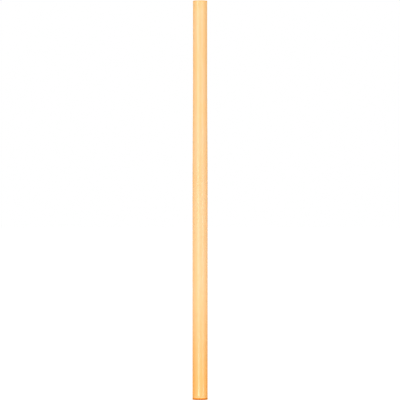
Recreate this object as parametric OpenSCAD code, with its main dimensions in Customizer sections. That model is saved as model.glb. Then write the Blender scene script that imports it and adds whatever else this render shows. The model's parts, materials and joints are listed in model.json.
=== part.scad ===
// A straight drinking straw: one thin extruded tube, cut square at both ends.
// It stands upright on one cut end, with the tube's axis on Z and that end on
// Z = 0. Both ends are alike. Sizes are in millimetres.

/* [Tube] */
// Length from one cut end to the other
straw_length = 197; // [120:1:300]
// Outside diameter of the tube
outside_d = 7.3; // [4:0.1:13]
// Thickness of the extruded wall
wall = 0.2; // [0.12:0.01:0.5]

/* [Cut ends] */
// Rounding that the knife leaves on the two edges of each rim
rim_r = 0.04; // [0.01:0.01:0.05]

/* [Hidden] */
$fn = 96;
outside_r = outside_d / 2;
inside_r = outside_r - wall;
straw_colour = [1.0, 0.83, 0.58];

// The wall cut along the tube: a tall thin strip with its four corners rounded,
// which stands beside the tube's axis and is as tall as the straw.
module wall_section() {
    translate([inside_r, rim_r])
        square([wall, straw_length - 2 * rim_r]);
    translate([inside_r + rim_r, 0])
        square([wall - 2 * rim_r, straw_length]);
    for (x = [inside_r + rim_r, outside_r - rim_r], y = [rim_r, straw_length - rim_r])
        translate([x, y])
            circle(r = rim_r);
}

// The whole straw: that strip turned once round the axis.
module straw() {
    color(straw_colour)
        rotate_extrude()
            wall_section();
}

straw();
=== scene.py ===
# %% [markdown]
# A drinking straw in milky orange plastic
#
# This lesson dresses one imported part, a straight drinking straw that stands on its cut end.
# The straw is one of the simplest things a factory makes from plastic: a ring of melt comes
# out of a die without end, is pulled through cold water, and a knife chops it into lengths.
# So there are only three things to get right. The first is the thin tube with its two cut
# rims. The second is the plastic, which is neither clear nor opaque. The third is the light,
# because part of it shines through the wall and part of it is mirrored there.
#
# The tube's length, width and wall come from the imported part. Blender counts in metres, and
# where a length is easier to read in millimetres, MM turns it into metres.

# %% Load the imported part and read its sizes
import json
from math import atan2, cos, radians, sin

import bpy
from mathutils import Matrix, Vector


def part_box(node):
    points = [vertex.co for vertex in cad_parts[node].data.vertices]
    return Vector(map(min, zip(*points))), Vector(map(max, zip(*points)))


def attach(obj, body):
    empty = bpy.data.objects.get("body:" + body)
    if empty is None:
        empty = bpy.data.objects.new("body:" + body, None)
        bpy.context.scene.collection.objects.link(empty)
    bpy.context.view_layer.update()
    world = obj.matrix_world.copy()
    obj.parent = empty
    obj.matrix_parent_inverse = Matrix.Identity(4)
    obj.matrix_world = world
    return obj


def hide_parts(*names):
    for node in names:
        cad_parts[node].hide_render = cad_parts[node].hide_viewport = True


MM = 0.001  # a millimetre

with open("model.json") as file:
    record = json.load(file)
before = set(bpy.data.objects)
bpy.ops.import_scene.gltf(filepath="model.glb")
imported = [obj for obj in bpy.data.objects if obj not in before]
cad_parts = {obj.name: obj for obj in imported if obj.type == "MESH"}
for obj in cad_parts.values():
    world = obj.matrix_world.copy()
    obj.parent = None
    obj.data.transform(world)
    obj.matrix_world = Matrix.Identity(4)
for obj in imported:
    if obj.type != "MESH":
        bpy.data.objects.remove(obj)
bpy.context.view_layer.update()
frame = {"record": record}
bpy.ops.object.select_all(action="DESELECT")

low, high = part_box("straw")
length = high.z - low.z
outside_r = (high.x - low.x) / 2
bore = next(mount for mount in frame["record"]["mounts"] if mount["name"] == "bore")
wall = outside_r - bore["dims"]["r_mm"] * MM
print(f"tube {length / MM:.1f} mm long, {2 * outside_r / MM:.2f} mm across, wall {wall / MM:.2f} mm")

# %% [markdown]
# The camera
#
# The photograph looks at the middle of the straw, square on. Its cut ends curve outwards by
# less than a pixel, and that small curve says how far away the camera stood: about five
# straw lengths. The lens then follows from how many pixels the straw fills from end to end.

# %% Place the camera from what the picture measures
PICTURE_PX = 400  # width and height of the picture
TOP_PX = 0.2  # row of the highest point of the upper rim
FOOT_PX = 400.15  # row of the lowest point of the lower rim
AXIS_PX = 200.08  # column of the straw's middle
SENSOR = 36.0  # width of the film, in the millimetres that a lens is quoted in
LENGTHS_AWAY = 5  # from the camera to the straw, in straw lengths
QUARTER_TURN = radians(90)  # a new camera or lamp looks straight down, and this tips it level

camera_far = LENGTHS_AWAY * length
px_size = length / (FOOT_PX - TOP_PX)  # what one pixel covers at the front of the tube
lens_px = (camera_far - outside_r) / px_size
aim_x = (PICTURE_PX / 2 - AXIS_PX) * px_size
aim_z = length / 2 + ((TOP_PX + FOOT_PX) / 2 - PICTURE_PX / 2) * px_size

bpy.ops.object.camera_add(location=(aim_x, -camera_far, aim_z), rotation=(QUARTER_TURN, 0, 0))
camera = bpy.context.object
camera.data.sensor_width = SENSOR
camera.data.lens = lens_px * SENSOR / PICTURE_PX
bpy.context.scene.camera = camera
bpy.context.scene.view_settings.view_transform = "Standard"
print(f"camera {camera_far:.3f} m away with a {camera.data.lens:.0f} mm lens")

# %% [markdown]
# The tube
#
# A plain cylinder would be too perfect. So thin a tube is easily pressed a little out of
# round: here the lower half is a little wider from side to side than the top, and what a
# ring gains in width it loses, in part, from front to back. First comes the rule that says
# how wide each ring is.

# %% Say how far out of round the tube is at each height
LOWER_SQUEEZE = 1.023  # width over the round width along the lower half
UPPER_SQUEEZE = 0.966  # the same along the top
NARROWS_FROM, NARROWS_TO = 0.53, 0.82  # where one passes into the other, as shares of the length
GIVE = 0.5  # how much of each change in width goes into the depth


def ease(value, start, end):
    """0 before start, 1 after end, and a smooth rise between them."""
    share = min(max((value - start) / (end - start), 0), 1)
    return share * share * (3 - 2 * share)


def squeeze(z):
    """The tube's width at height z, as a share of the round one."""
    upper = ease(z, NARROWS_FROM * length, NARROWS_TO * length)
    return LOWER_SQUEEZE + (UPPER_SQUEEZE - LOWER_SQUEEZE) * upper


def deepen(width):
    """The depth from front to back that goes with a width, both as shares of the round one."""
    return 1 + GIVE * (1 - width)


for name, z in (("foot", 0), ("middle", length / 2), ("head", length)):
    across = 2 * outside_r * squeeze(z) / MM
    deep = 2 * outside_r * deepen(squeeze(z)) / MM
    print(f"{name}: {across:.2f} mm across and {deep:.2f} mm deep")

# %% [markdown]
# To shape that by hand, start with one ring of points at the foot, pull it upwards in short
# steps, and squeeze each new ring as it is made. Pulling is also how the real one is made,
# and it leaves clean quads all the way up. The wall comes later, so that it has one thickness.

# %% Pull one ring of points up into a tube
AROUND = 96  # points in a ring
STEP_COUNT = 40  # rings above the first one


def squeeze_ring(z, was=1.0):
    """Presses the selected ring, which stands at height z and is was wide, to its shape."""
    across = squeeze(z) / was
    deep = deepen(squeeze(z)) / deepen(was)
    bpy.ops.transform.resize(value=(across, deep, 1), center_override=(0, 0, z))


bpy.ops.mesh.primitive_circle_add(vertices=AROUND, radius=outside_r, fill_type="NOTHING")
tube = bpy.context.object
tube.name = tube.data.name = "straw_tube"
bpy.ops.object.mode_set(mode="EDIT")
bpy.ops.mesh.select_all(action="SELECT")
squeeze_ring(0)
rise = length / STEP_COUNT
for step in range(1, STEP_COUNT + 1):
    bpy.ops.mesh.extrude_region_move(TRANSFORM_OT_translate={"value": (0, 0, rise)})
    squeeze_ring(step * rise, was=squeeze((step - 1) * rise))
bpy.ops.mesh.select_all(action="SELECT")
bpy.ops.mesh.normals_make_consistent(inside=False)
bpy.ops.object.mode_set(mode="OBJECT")
print(f"{len(tube.data.polygons)} faces in the skin of the tube")

# %% [markdown]
# The wall and the cut rims
#
# Solidify gives the skin its wall, inwards, so that the outside keeps its size. It also
# closes both ends with a flat ring, which is the knife's cut. Real cuts aren't razor sharp,
# so a small bevel rounds the two edges of each rim, and that thin line catches the light.

# %% Thicken the skin and round the rims
RIM_R = 0.04 * MM  # rounding of each edge of a cut
RIM_STEPS = 3  # faces across that rounding
CUT_ANGLE = radians(60)  # edges that fold more than this belong to a cut
SMOOTH_ANGLE = radians(40)  # edges that fold less than this are shaded as one surface


def finish_with(piece, name, kind, **settings):
    """Adds one modifier to the piece, sets it and applies it."""
    modifier = piece.modifiers.new(name, kind)
    for key, value in settings.items():
        setattr(modifier, key, value)
    bpy.ops.object.modifier_apply(modifier=modifier.name)


finish_with(tube, "wall", "SOLIDIFY", thickness=wall, offset=-1, use_even_offset=True)
finish_with(
    tube, "rims", "BEVEL", width=RIM_R, segments=RIM_STEPS, limit_method="ANGLE", angle_limit=CUT_ANGLE
)
bpy.ops.object.shade_smooth_by_angle(angle=SMOOTH_ANGLE)
print(f"{len(tube.data.polygons)} faces in the finished tube")

# %% [markdown]
# A way to write shaders as sums
#
# A material in Blender is a web of nodes, and long webs are hard to read. So this small
# class wraps one output of a node. Two of them can be added, subtracted or multiplied like
# numbers, and each step quietly adds its Math node. Every other node comes from one method.

# %% Wrap a socket so that it works like a number
MIX_SHARE, MIX_FIRST, MIX_SECOND, MIX_RESULT = 0, 6, 7, 2  # a Mix node's sockets for colours
SHADER_SHARE, SHADER_FIRST, SHADER_SECOND = 0, 1, 2  # the sockets of a Mix Shader node


class Wire:
    """One output of a node, for use in sums and as another node's input."""

    def __init__(self, tree, socket=None):
        self.tree = tree
        self.socket = socket

    def node(self, kind, settings=None, inputs=None, out=0):
        """Adds a node, sets it, fills its inputs with values or wires, and wraps an output."""
        made = self.tree.nodes.new("ShaderNode" + kind)
        for key, value in (settings or {}).items():
            setattr(made, key, value)
        for key, value in (inputs or {}).items():
            if isinstance(value, Wire):
                self.tree.links.new(value.socket, made.inputs[key])
            else:
                made.inputs[key].default_value = value
        return Wire(self.tree, made.outputs[out] if made.outputs else None)

    def math(self, operation, *values):
        return self.node("Math", {"operation": operation}, dict(enumerate(values)))

    def __add__(self, other):
        return self.math("ADD", self, other)

    def __sub__(self, other):
        return self.math("SUBTRACT", self, other)

    def __mul__(self, other):
        return self.math("MULTIPLY", self, other)

    def __rsub__(self, other):
        return self.math("SUBTRACT", other, self)

    __radd__ = __add__
    __rmul__ = __mul__

    def ease(self, start, end):
        """0 before start, 1 after end, and a smooth rise between them."""
        limits = {"Value": self, "From Min": start, "From Max": end}
        return self.node("MapRange", {"interpolation_type": "SMOOTHSTEP"}, limits)

    def mix(self, first, second):
        """The first colour where this is 0 and the second where it is 1."""
        colours = {MIX_SHARE: self, MIX_FIRST: first, MIX_SECOND: second}
        return self.node("Mix", {"data_type": "RGBA"}, colours, out=MIX_RESULT)

    def blend(self, first, second):
        """The first shader where this is 0 and the second where it is 1."""
        shaders = {SHADER_SHARE: self, SHADER_FIRST: first, SHADER_SECOND: second}
        return self.node("MixShader", inputs=shaders)


def new_material(name):
    """An empty material, and a wire to start its nodes from."""
    material = bpy.data.materials.new(name)
    material.use_nodes = True
    material.node_tree.nodes.clear()
    return material, Wire(material.node_tree)


plastic, start = new_material("straw_plastic")
print(f"{plastic.name} is ready, with {len(plastic.node_tree.nodes)} nodes")

# %% [markdown]
# The grain of the plastic
#
# Melt that leaves a die keeps the die's fine scratches as long thin lines, and the plastic
# sets in clearer and milkier patches, which the pull draws out along the tube. Both are noise
# that is stretched lengthwise: the lines a great deal, and the clouds less. They could be
# painted, but noise on Object coordinates follows the tube through its wall and bore without
# a seam. The lines go to a Bump node and the clouds to the colour and the gloss.

# %% Draw the die lines and the milky clouds
LINE_GRAIN, LINE_SQUASH, LINE_DETAIL = 2600, 0.02, 3
CLOUD_GRAIN, CLOUD_SQUASH, CLOUD_DETAIL = 500, 0.15, 2
LINE_STRENGTH, LINE_DEPTH = 0.3, 0.06 * MM
CLOUD_FROM, CLOUD_TO = 0.35, 0.65  # the noise values where a cloud begins and is full

place = start.node("TexCoord", out="Object")
height = start.node("SeparateXYZ", inputs={"Vector": place}, out="Z")


def drawn_noise(grain, squash, detail):
    """Noise with grain cells to the metre, drawn out along the tube by 1 over squash."""
    drawn = start.node("Mapping", inputs={"Vector": place, "Scale": (1, 1, squash)})
    return start.node("TexNoise", inputs={"Vector": drawn, "Scale": grain, "Detail": detail})


die_lines = drawn_noise(LINE_GRAIN, LINE_SQUASH, LINE_DETAIL)
clouds = drawn_noise(CLOUD_GRAIN, CLOUD_SQUASH, CLOUD_DETAIL)
bumps = start.node(
    "Bump", inputs={"Height": die_lines, "Strength": LINE_STRENGTH, "Distance": LINE_DEPTH}
)
cloudy = clouds.ease(CLOUD_FROM, CLOUD_TO)
cloud_wide = 1 / CLOUD_GRAIN / MM
print(f"clouds about {cloud_wide:.0f} mm wide and {cloud_wide / CLOUD_SQUASH:.0f} mm long")

# %% [markdown]
# The two ends
#
# Light and shade at the two ends are painted into the colour here. Towards the foot the orange is
# painted darker over the last few centimetres, and at the cut itself three thin bands follow each
# other: a pale painted highlight line, a deep orange band of painted shade, and a brown painted shadow
# at the cut edge. The head is painted a little darker over its last millimetres. Each of these is a
# mask on the height that fades over a short way.

# %% Mark where light and shade are painted at the foot and at the head
# Each mask is full up to the first height and gone from the second, in millimetres from its own end of
# the straw. Every one of them paints light and shade into the colour: shade towards the foot and the
# head, a highlight line and a band of shade above the foot's cut, and a shadow at the cut itself.
FOOT_SHADE = 0, 62
FOOT_DEEPER_SHADE = 3, 12
FOOT_HIGHLIGHT_TOP = 1.4, 1.7
FOOT_HIGHLIGHT_UNDER = 0.9, 1.2
FOOT_RIM_SHADE = 0.9, 1.15
FOOT_CUT_SHADOW = 0.45, 0.65
HEAD_SHADE = 1, 6
HEAD_RIM_SHADE = 0.6, 0.9


def near_foot(full, gone):
    """1 from the foot up to full, and 0 from gone upwards."""
    return 1 - height.ease(full * MM, gone * MM)


def near_head(full, gone):
    """1 from the head down to full, and 0 from gone downwards."""
    return height.ease(length - gone * MM, length - full * MM)


# painted shade over the last few centimetres of the foot, which also lays on the coat
painted_foot_shade = near_foot(*FOOT_SHADE)
# deeper painted shade close to the foot
painted_deeper_foot_shade = near_foot(*FOOT_DEEPER_SHADE)
# a painted highlight line just above the foot's cut
painted_foot_highlight = near_foot(*FOOT_HIGHLIGHT_TOP) * (1 - near_foot(*FOOT_HIGHLIGHT_UNDER))
# painted shade in a band at the foot's cut
painted_rim_shade = near_foot(*FOOT_RIM_SHADE)
# a painted shadow at the foot's cut edge
painted_cut_shadow = near_foot(*FOOT_CUT_SHADOW)
# painted shade over the head's last millimetres
painted_head_shade = near_head(*HEAD_SHADE)
# painted shade in a thin band at the head's cut
painted_head_rim_shade = near_head(*HEAD_RIM_SHADE)
print(f"{len(plastic.node_tree.nodes)} nodes for the grain and the bands")

# %% [markdown]
# The colours are laid over each other in order, the widest first, as a painter would glaze them:
# clouds all over, then the painted shade towards the foot, then the painted highlight, shade and
# shadow bands at the cuts.

# %% Lay the colours over each other
PALE = (0.99, 0.715, 0.335, 1)
MILKY = (0.99, 0.74, 0.395, 1)
# painted shade: the orange darkened towards the foot
FOOT_SHADE_ORANGE = (0.97, 0.70, 0.295, 1)
# deeper painted shade close to the foot
FOOT_DEEPER_SHADE_ORANGE = (0.93, 0.665, 0.29, 1)
# a painted highlight: the pale line just above the foot's cut
HIGHLIGHT_PALE = (0.99, 0.79, 0.46, 1)
# painted shade: the deep orange band at the foot's cut
RIM_SHADE_ORANGE = (0.80, 0.31, 0.015, 1)
# a painted shadow: the brown at the foot's cut edge
CUT_SHADOW_BROWN = (0.38, 0.09, 0.0, 1)
# painted shade: the deeper orange at the head
HEAD_SHADE_ORANGE = (0.97, 0.58, 0.19, 1)
HEAD_SHADE_SHARE = 0.35  # how far the painted shade in the last millimetres of the head goes to that orange

layers = (
    (painted_foot_shade, FOOT_SHADE_ORANGE),
    (painted_deeper_foot_shade, FOOT_DEEPER_SHADE_ORANGE),
    (HEAD_SHADE_SHARE * painted_head_shade, HEAD_SHADE_ORANGE),
    (painted_head_rim_shade, HEAD_SHADE_ORANGE),
    (painted_foot_highlight, HIGHLIGHT_PALE),
    (painted_rim_shade, RIM_SHADE_ORANGE),
    (painted_cut_shadow, CUT_SHADOW_BROWN),
)
colour = cloudy.mix(PALE, MILKY)
for mask, layer_colour in layers:
    colour = mask.mix(colour, layer_colour)
print(f"{len(layers)} layers of colour over the clouds")

# %% [markdown]
# The skin of the plastic
#
# The outer face is satin, not glossy, and a Principled shader gives it: rough enough to blur the lamps
# into soft streaks, and a little smoother at the foot, where the streaks are crisper. Along its two
# outer edges a straw looks deeper in colour, because there the eye looks along the wall and not
# through it. An orange Sheen does the same: it grows where a surface turns away, and takes the place
# of the paler colour under it. At the foot the edges are painted darker still, by a coat that is laid
# on with the painted foot shade, so that coat is painted shade too. With an IOR of 1 a coat adds no
# shine of its own, and its tint counts most where light crosses it at a slant.

# %% Make the satin skin
PLASTIC_IOR = 1.49  # how strongly polypropylene bends light
SHINE = 1.0  # twice the usual reflection, as both faces of the thin wall reflect
SATIN, FOOT_GLOSS, CLOUD_HAZE = 0.25, 0.09, 0.03  # roughness, and what changes it
GLOSSY_FOOT = 2, 30  # where that gloss is full and where it is gone, as for the bands
COAT_IOR, COAT_ROUGHNESS = 1.0, 0.2
# the coat's tint, which paints shade at the foot
FOOT_SHADE_TINT = (0.92, 0.76, 0.53, 1)
SHEEN, SHEEN_ROUGHNESS = 1.0, 0.6
EDGE_ORANGE = (1.0, 0.44, 0.01, 1)

satin = SATIN - FOOT_GLOSS * near_foot(*GLOSSY_FOOT) + CLOUD_HAZE * clouds
skin = start.node(
    "BsdfPrincipled",
    inputs={
        "Base Color": colour,
        "Roughness": satin,
        "IOR": PLASTIC_IOR,
        "Specular IOR Level": SHINE,
        # the coat goes where the foot is painted in shade, and darkens it further
        "Coat Weight": painted_foot_shade,
        "Coat IOR": COAT_IOR,
        "Coat Roughness": COAT_ROUGHNESS,
        "Coat Tint": FOOT_SHADE_TINT,
        "Sheen Weight": SHEEN,
        "Sheen Roughness": SHEEN_ROUGHNESS,
        "Sheen Tint": EDGE_ORANGE,
        "Normal": bumps,
    },
)
print(f"roughness from {SATIN - FOOT_GLOSS:.2f} at the foot to {SATIN + CLOUD_HAZE:.2f}")

# %% [markdown]
# Light through the wall
#
# Look through such a straw and you see light but no clear shapes: the wall is milky. A thin
# milky wall does three things with light. It sends part of it back, which the skin above
# does. It lets part of it through, scattered, which a Translucent shader does, and that part
# makes the bore glow. And it lets a little straight through, which a Transparent shader does.
# At the foot's rim neither part passes, so that the painted shade there stays deep. A true volume
# could do all this too, but it needs many more samples to come out clean.
#
# The wall is a real solid, so a ray that goes through it meets two skins, and the shaders
# would count twice. The Backfacing output tells the two apart: a skin that is met from inside
# the wall lets all the light pass and only tints it, and so each wall counts once, from
# either side.

# %% Let light through the wall
GLOW_ORANGE = (0.99, 0.70, 0.36, 1)
CLEAR_TINT = (1, 0.93, 0.8, 1)  # what each skin leaves of the light that it lets pass
SCATTERED = 0.25  # share of the light that goes through the wall scattered
STRAIGHT = 0.10  # share that goes straight through

glow = start.node("BsdfTranslucent", inputs={"Color": GLOW_ORANGE, "Normal": bumps})
milky = (SCATTERED * (1 - painted_rim_shade)).blend(skin, glow)
clear = start.node("BsdfTransparent", inputs={"Color": CLEAR_TINT})
inside_wall = start.node("NewGeometry", out="Backfacing")
straight = STRAIGHT * (1 - painted_rim_shade)
open_share = straight + (1 - straight) * inside_wall
start.node("OutputMaterial", inputs={"Surface": open_share.blend(milky, clear)})
tube.data.materials.append(plastic)
print(f"{plastic.name} has {len(plastic.node_tree.nodes)} nodes")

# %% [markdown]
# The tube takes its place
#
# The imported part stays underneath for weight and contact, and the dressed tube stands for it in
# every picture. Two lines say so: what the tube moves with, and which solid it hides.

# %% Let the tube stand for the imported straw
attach(tube, "root")
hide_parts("straw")
print(f"{tube.name} rides on root and stands for straw")

# %% [markdown]
# Floor and background
#
# The photograph has a pure white ground. If that white came from more light, the straw would
# bleach too. So the floor is a plain pale sheet under the lamps, and a Light Path node lifts
# it to white only for what the camera sees, whether straight, mirrored or through the
# plastic. A share of its real shading stays, and with it the straw's soft shadow.

# %% Make the white floor


def seen(start):
    """1 for rays that show the background itself, and 0 for rays that only carry light."""
    kinds = ("Camera", "Glossy", "Transmission")
    rays = [start.node("LightPath", out=f"Is {kind} Ray") for kind in kinds]
    return start.math("MINIMUM", sum(rays), 1)


WHITE = (1, 1, 1, 1)
SHADOW_SHARE = 0.6  # how much of the floor's own shading shows
FLOOR_PALE = (0.9, 0.9, 0.9, 1)
WHITE_LIFT = 1.65  # strength of the white that is mixed in
FLOOR_SIDE = 12.0
FLOOR_DROP = 0.02 * MM  # a hair under the straw, so that the two never share a plane

floor_paper, start = new_material("floor_paper")
shaded = start.node("BsdfDiffuse", inputs={"Color": FLOOR_PALE})
white = start.node("Emission", inputs={"Color": WHITE, "Strength": WHITE_LIFT})
lift_share = (1 - SHADOW_SHARE) * seen(start)
start.node("OutputMaterial", inputs={"Surface": lift_share.blend(shaded, white)})

bpy.ops.mesh.primitive_plane_add(size=FLOOR_SIDE, location=(0, 0, -FLOOR_DROP))
floor = bpy.context.object
floor.name = "floor"
floor.data.materials.append(floor_paper)
print(f"floor {FLOOR_SIDE:.0f} m wide")

# %% [markdown]
# The world does the same above the horizon: pure white to look at, and a gentler level of
# light from all round on the straw.
#
# White all round would wash out the straw's outline, though, because a round tube mirrors
# most at its two edges, and what it mirrors there stands behind it. Photographers put dark
# cards there, just out of the picture. Here the world does that: what the straw mirrors of
# it is white in front and about half as bright behind.

# %% Make the white world
WORLD_LEVEL = 0.69  # light from all round
DARK_CARD = 0.45  # how much darker the mirrored half behind the straw is
BEHIND_FROM, BEHIND_TO = 0.15, 0.6  # where that half begins and is full, as a heading's Y

world = bpy.data.worlds.new("studio")
bpy.context.scene.world = world
world.use_nodes = True
world.node_tree.nodes.clear()
start = Wire(world.node_tree)
heading = start.node("TexCoord", out="Generated")
backwards = start.node("SeparateXYZ", inputs={"Vector": heading}, out="Y")
behind = backwards.ease(BEHIND_FROM, BEHIND_TO)
mirrored = start.node("LightPath", out="Is Glossy Ray")
level = WORLD_LEVEL + (1 - WORLD_LEVEL) * seen(start) - DARK_CARD * behind * mirrored
sky = start.node("Background", inputs={"Color": WHITE, "Strength": level})
start.node("OutputWorld", inputs={"Surface": sky})
print(f"the world lights the straw at {WORLD_LEVEL}")

# %% [markdown]
# The lamps in front
#
# Two faint streaks run up the straw, one left of its middle and one right. A round tube
# mirrors a lamp where its surface faces half way between the lamp and the camera, so each
# streak's place gives its lamp's direction: twice the angle of the surface there. A streak
# that leans a little needs a lamp that leans too.

# %% Work out a lamp from the streak that it makes
LAMP_POWER = 4  # power of an area lamp for each square metre and unit of radiance


def lamp_corner(streak, far, high):
    """The point from which light reaches the camera by way of the streak."""
    facing = atan2(streak, (outside_r**2 - streak**2) ** 0.5)
    return Vector((far * sin(2 * facing), -far * cos(2 * facing), high))


def set_strip(lamp, name, wide, tall, radiance):
    """Makes a new area lamp a strip of even brightness that the camera doesn't see."""
    lamp.name = name
    lamp.data.shape = "RECTANGLE"
    lamp.data.size, lamp.data.size_y = wide, tall
    lamp.data.energy = LAMP_POWER * radiance * wide * tall
    lamp.visible_camera = False
    print(f"{name}: {lamp.data.energy:.4f} W")


def strip_lamp(name, foot_streak, head_streak, far, spread, tall, radiance):
    """Stands a strip lamp on the floor that the tube mirrors in one streak."""
    low_end = lamp_corner(foot_streak, far, 0)
    high_end = lamp_corner(head_streak, far, tall)
    bpy.ops.object.light_add(type="AREA", location=(low_end + high_end) / 2)
    lamp = bpy.context.object
    set_strip(lamp, name, spread * far, (high_end - low_end).length, radiance)
    along = (high_end - low_end).normalized()
    across = along.cross(Vector((lamp.location.x, lamp.location.y, 0))).normalized()
    lamp.rotation_euler = Matrix((across, along, across.cross(along))).transposed().to_euler()
    return lamp


# %% [markdown]
# Near the foot the camera looks down on the tube a little, and what the tube mirrors there
# stands close to the floor. So each tall lamp has three low ones in front of it, each nearer
# and lower than the last. They stand so close that they would burn bright patches into the
# floor. Light linking stops that: they light one collection, which holds only the straw.
#
# The low lamps are a pale blue. The coat of painted shade at the foot lies over what the foot mirrors,
# and white lamps would leave yellow streaks there.

# %% Stand the lamps where the streaks say
# Each streak's distance from the straw's middle: in the low lamps, and in the tall lamp at
# its foot and at its head.
LEFT_LOW, LEFT_FOOT, LEFT_HEAD = -0.58 * MM, -0.62 * MM, -1.60 * MM
RIGHT_LOW, RIGHT_FOOT, RIGHT_HEAD = 1.32 * MM, 1.25 * MM, 1.15 * MM
LOW_BLUE = (0.575, 0.625, 1.0)

# Each lamp is its distance, its width as a share of that, its height and its radiance.
LEFT_LAMPS = (
    (0.45, 0.38, 0.45, 2.2),
    (0.075, 0.27, 0.0253, 5.8),
    (0.03, 0.34, 0.0044, 9.6),
    (0.012, 0.35, 0.0018, 8.3),
)
RIGHT_LAMPS = (
    (0.45, 0.30, 0.45, 1.75),
    (0.075, 0.27, 0.0253, 2.8),
    (0.03, 0.30, 0.0044, 5.6),
    (0.012, 0.30, 0.0018, 5.1),
)

straw_only = bpy.data.collections.new("straw_only")
straw_only.objects.link(tube)
for side, lowest, foot, head, lamps in (
    ("left", LEFT_LOW, LEFT_FOOT, LEFT_HEAD, LEFT_LAMPS),
    ("right", RIGHT_LOW, RIGHT_FOOT, RIGHT_HEAD, RIGHT_LAMPS),
):
    strip_lamp(f"{side}_tall", foot, head, *lamps[0])
    for number, low_lamp in enumerate(lamps[1:]):
        lamp = strip_lamp(f"{side}_low_{number}", lowest, lowest, *low_lamp)
        lamp.light_linking.receiver_collection = straw_only
        lamp.data.color = LOW_BLUE

# %% [markdown]
# The lamp behind
#
# From the back, the tall lamps in front leave the straw flat and dark. A wide soft lamp
# behind lights it from there, and some of that light comes through the walls to the front.
# It too lights only the straw, because on the floor its lower edge would draw a line.

# %% Hang one soft lamp behind
BACK_FAR, BACK_WIDE, BACK_TALL, BACK_RADIANCE = 0.6, 0.35, 0.5, 2.1

bpy.ops.object.light_add(
    type="AREA", location=(0, BACK_FAR, BACK_TALL / 2), rotation=(-QUARTER_TURN, 0, 0)
)
back_lamp = bpy.context.object
set_strip(back_lamp, "back_soft", BACK_WIDE, BACK_TALL, BACK_RADIANCE)
back_lamp.light_linking.receiver_collection = straw_only
